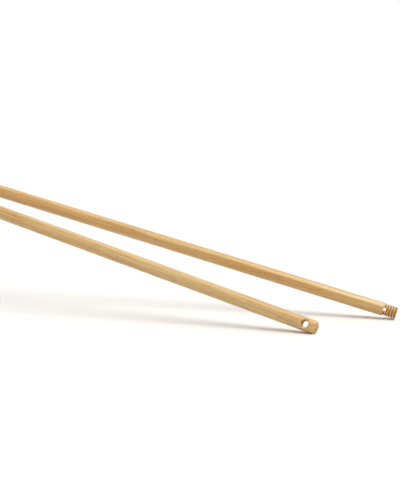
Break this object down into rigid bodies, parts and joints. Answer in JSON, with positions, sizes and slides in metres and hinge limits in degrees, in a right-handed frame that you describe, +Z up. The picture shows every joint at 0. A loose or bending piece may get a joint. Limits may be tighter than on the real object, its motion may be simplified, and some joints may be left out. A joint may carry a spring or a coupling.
{
  "type": "pair of wooden screw-end tool handles",
  "caption": "Long round lacquered wooden handles with a coarse screw thread at one end and a rounded hanging-hole end at the other, laid in a narrow V.",
  "frame": {"origin": "under the middle of the pair's box, on the surface that the handles lie on", "axes": "+X along the V from its narrow end to its wide end, +Z up"},
  "size_m": [1.3062, 0.1908, 0.024],
  "materials": {
    "lacquered_wood": "clear satin lacquer over light close-grained wood"
  },
  "bodies": {
    "thread_out": {"thread_out_handle": "lacquered_wood"},
    "hang_hole_out": {"hang_hole_out_handle": "lacquered_wood"}
  },
  "joints": [
    {"name": "hang_hole_out_lift", "type": "slide", "parent": "thread_out", "child": "hang_hole_out", "axis": [0, 0, 1], "range_m": [0, 0.15]}
  ]
}
